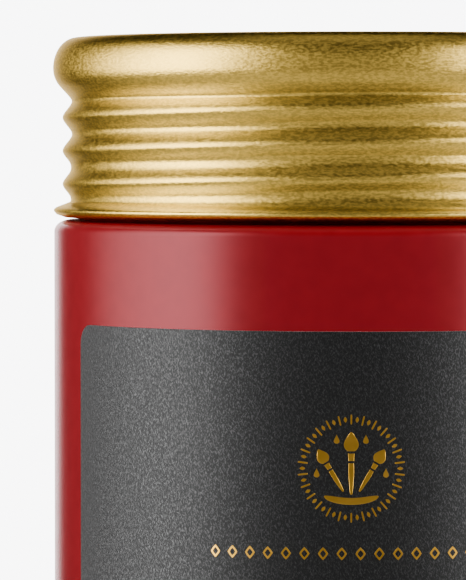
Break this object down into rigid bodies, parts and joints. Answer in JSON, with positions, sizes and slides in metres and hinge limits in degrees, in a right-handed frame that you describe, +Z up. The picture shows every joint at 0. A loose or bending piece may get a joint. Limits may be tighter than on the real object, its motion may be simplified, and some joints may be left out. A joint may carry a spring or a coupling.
{
  "type": "screw-top paint jar",
  "caption": "Wide-mouth round paint jar with a rolled metal screw lid, foam lid liner, paint fill and a wrap label with foil marks.",
  "frame": {"origin": "centre of the base, on the plane of the foot ring", "axes": "+Z up along the jar's axis, -Y towards the middle of the label, +X to the right as the label is read"},
  "size_m": [0.0762, 0.0764, 0.09],
  "materials": {
    "satin_red_plastic": "satin moulded plastic",
    "wet_red_paint": "wet gloss",
    "gold_aluminium": "gold anodised, fine grain, satin",
    "white_foam": "matte closed-cell foam",
    "black_kraft_paper": "matte uncoated, fibrous",
    "gold_foil": "hot-stamped foil, bright"
  },
  "bodies": {
    "jar": {"jar_body": "satin_red_plastic", "paint": "wet_red_paint", "label": "black_kraft_paper", "emblem_ring": "gold_foil", "emblem_brush": "gold_foil", "foil_line": "gold_foil"},
    "liner": {"lid_liner": "white_foam"},
    "lid": {"lid_shell": "gold_aluminium"}
  },
  "joints": [
    {"name": "lid_rise", "type": "slide", "parent": "jar", "child": "liner", "axis": [0, 0, 1], "range_m": [0, 0.0255]},
    {"name": "lid_turn", "type": "hinge", "parent": "liner", "child": "lid", "pos_m": [0, 0, 0.0894], "axis": [0, 0, 1], "range_deg": [0, 2160]}
  ],
  "couplings": [
    {"joint": "lid_rise", "follows": "lid_turn", "m_per_rad": 0.00067375}
  ]
}
